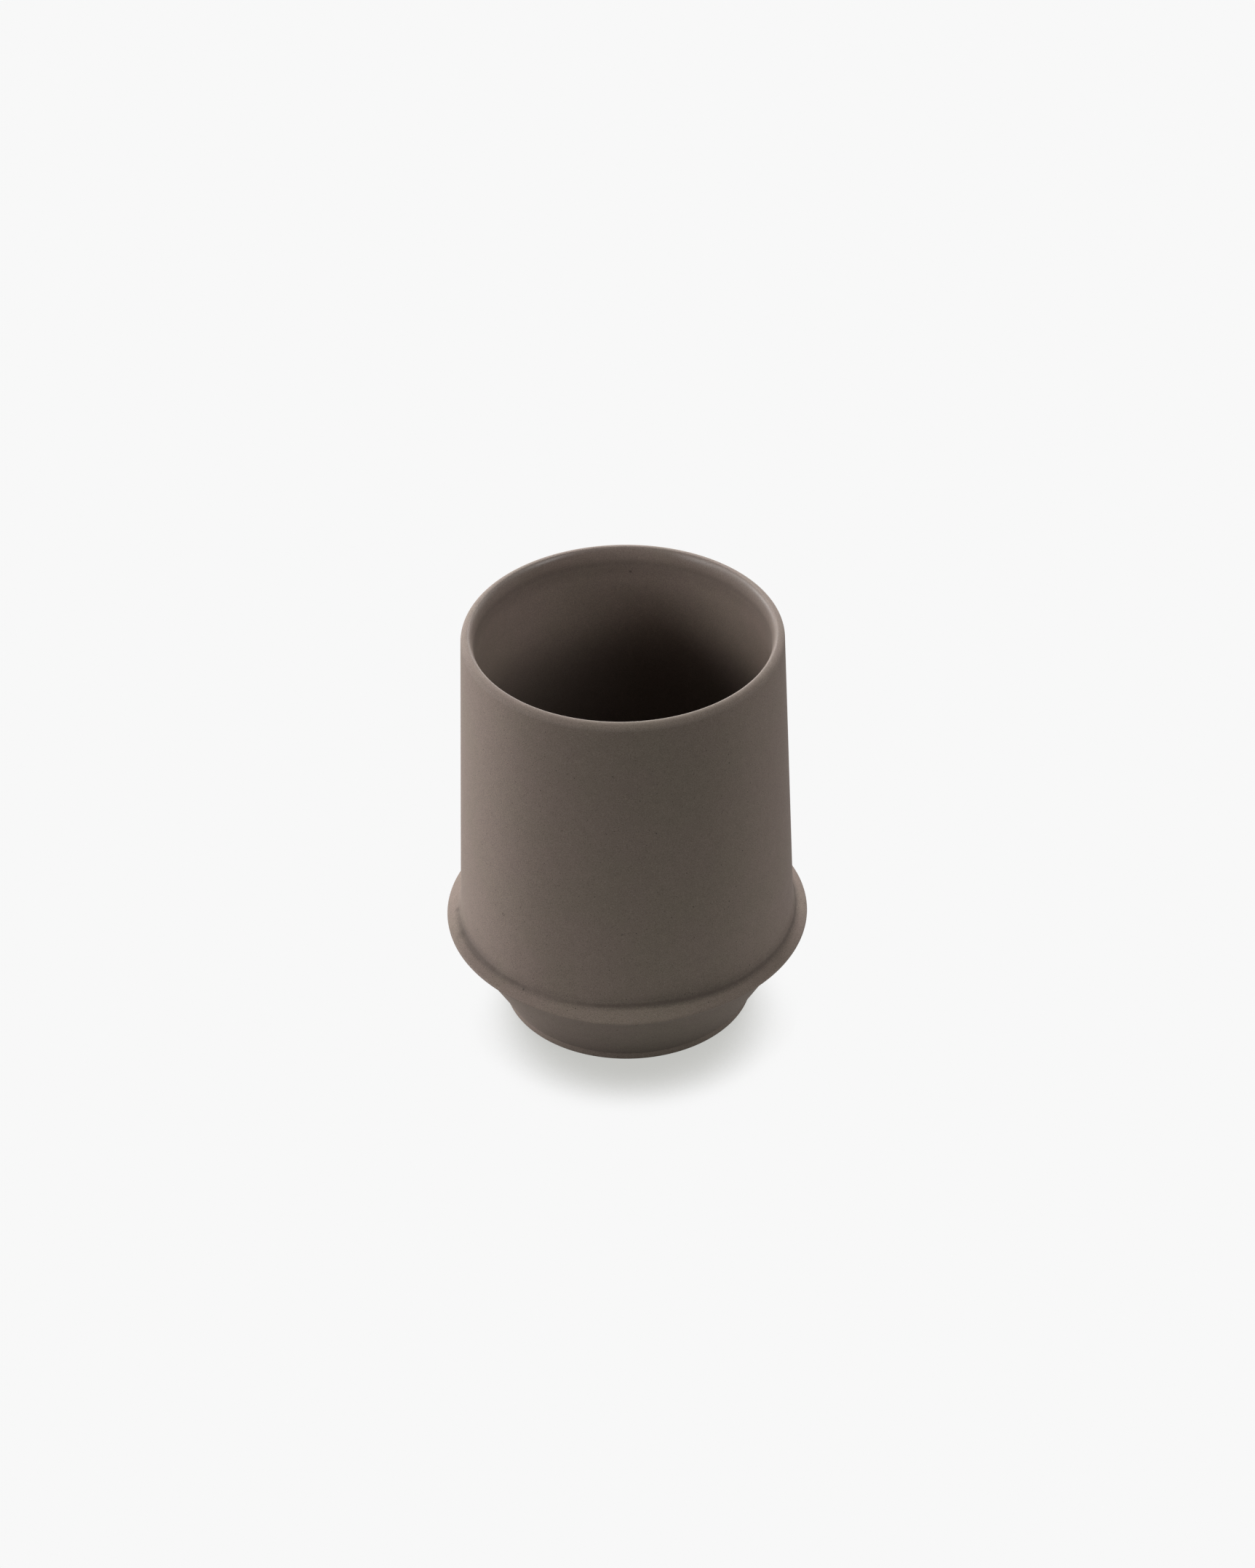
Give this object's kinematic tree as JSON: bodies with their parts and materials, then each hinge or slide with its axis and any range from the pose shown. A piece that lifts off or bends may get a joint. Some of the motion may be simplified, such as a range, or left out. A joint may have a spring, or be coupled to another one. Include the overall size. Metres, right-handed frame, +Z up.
{
  "type": "porcelain mug",
  "caption": "Handleless matte porcelain mug with a tapered wall, a flared collar low on its side and a cone-shaped foot, glazed inside.",
  "frame": {"origin": "middle of the standing ring's underside, on the mug's axis", "axes": "+Z up along the mug's axis, from the foot to the rim; the mug is round, so X and Y are any two directions across it"},
  "size_m": [0.09, 0.09, 0.1073],
  "materials": {
    "matte_porcelain": "matte unglazed grey-brown porcelain body with fine dark specks",
    "slip": "matte, slightly darker and rougher than the body, smoothed by hand",
    "glaze": "satin grey-brown glaze"
  },
  "bodies": {
    "root": {"cup_body": "matte_porcelain", "flanged_foot": "matte_porcelain", "luting_slip": "slip", "inner_glaze": "glaze"}
  },
  "joints": []
}
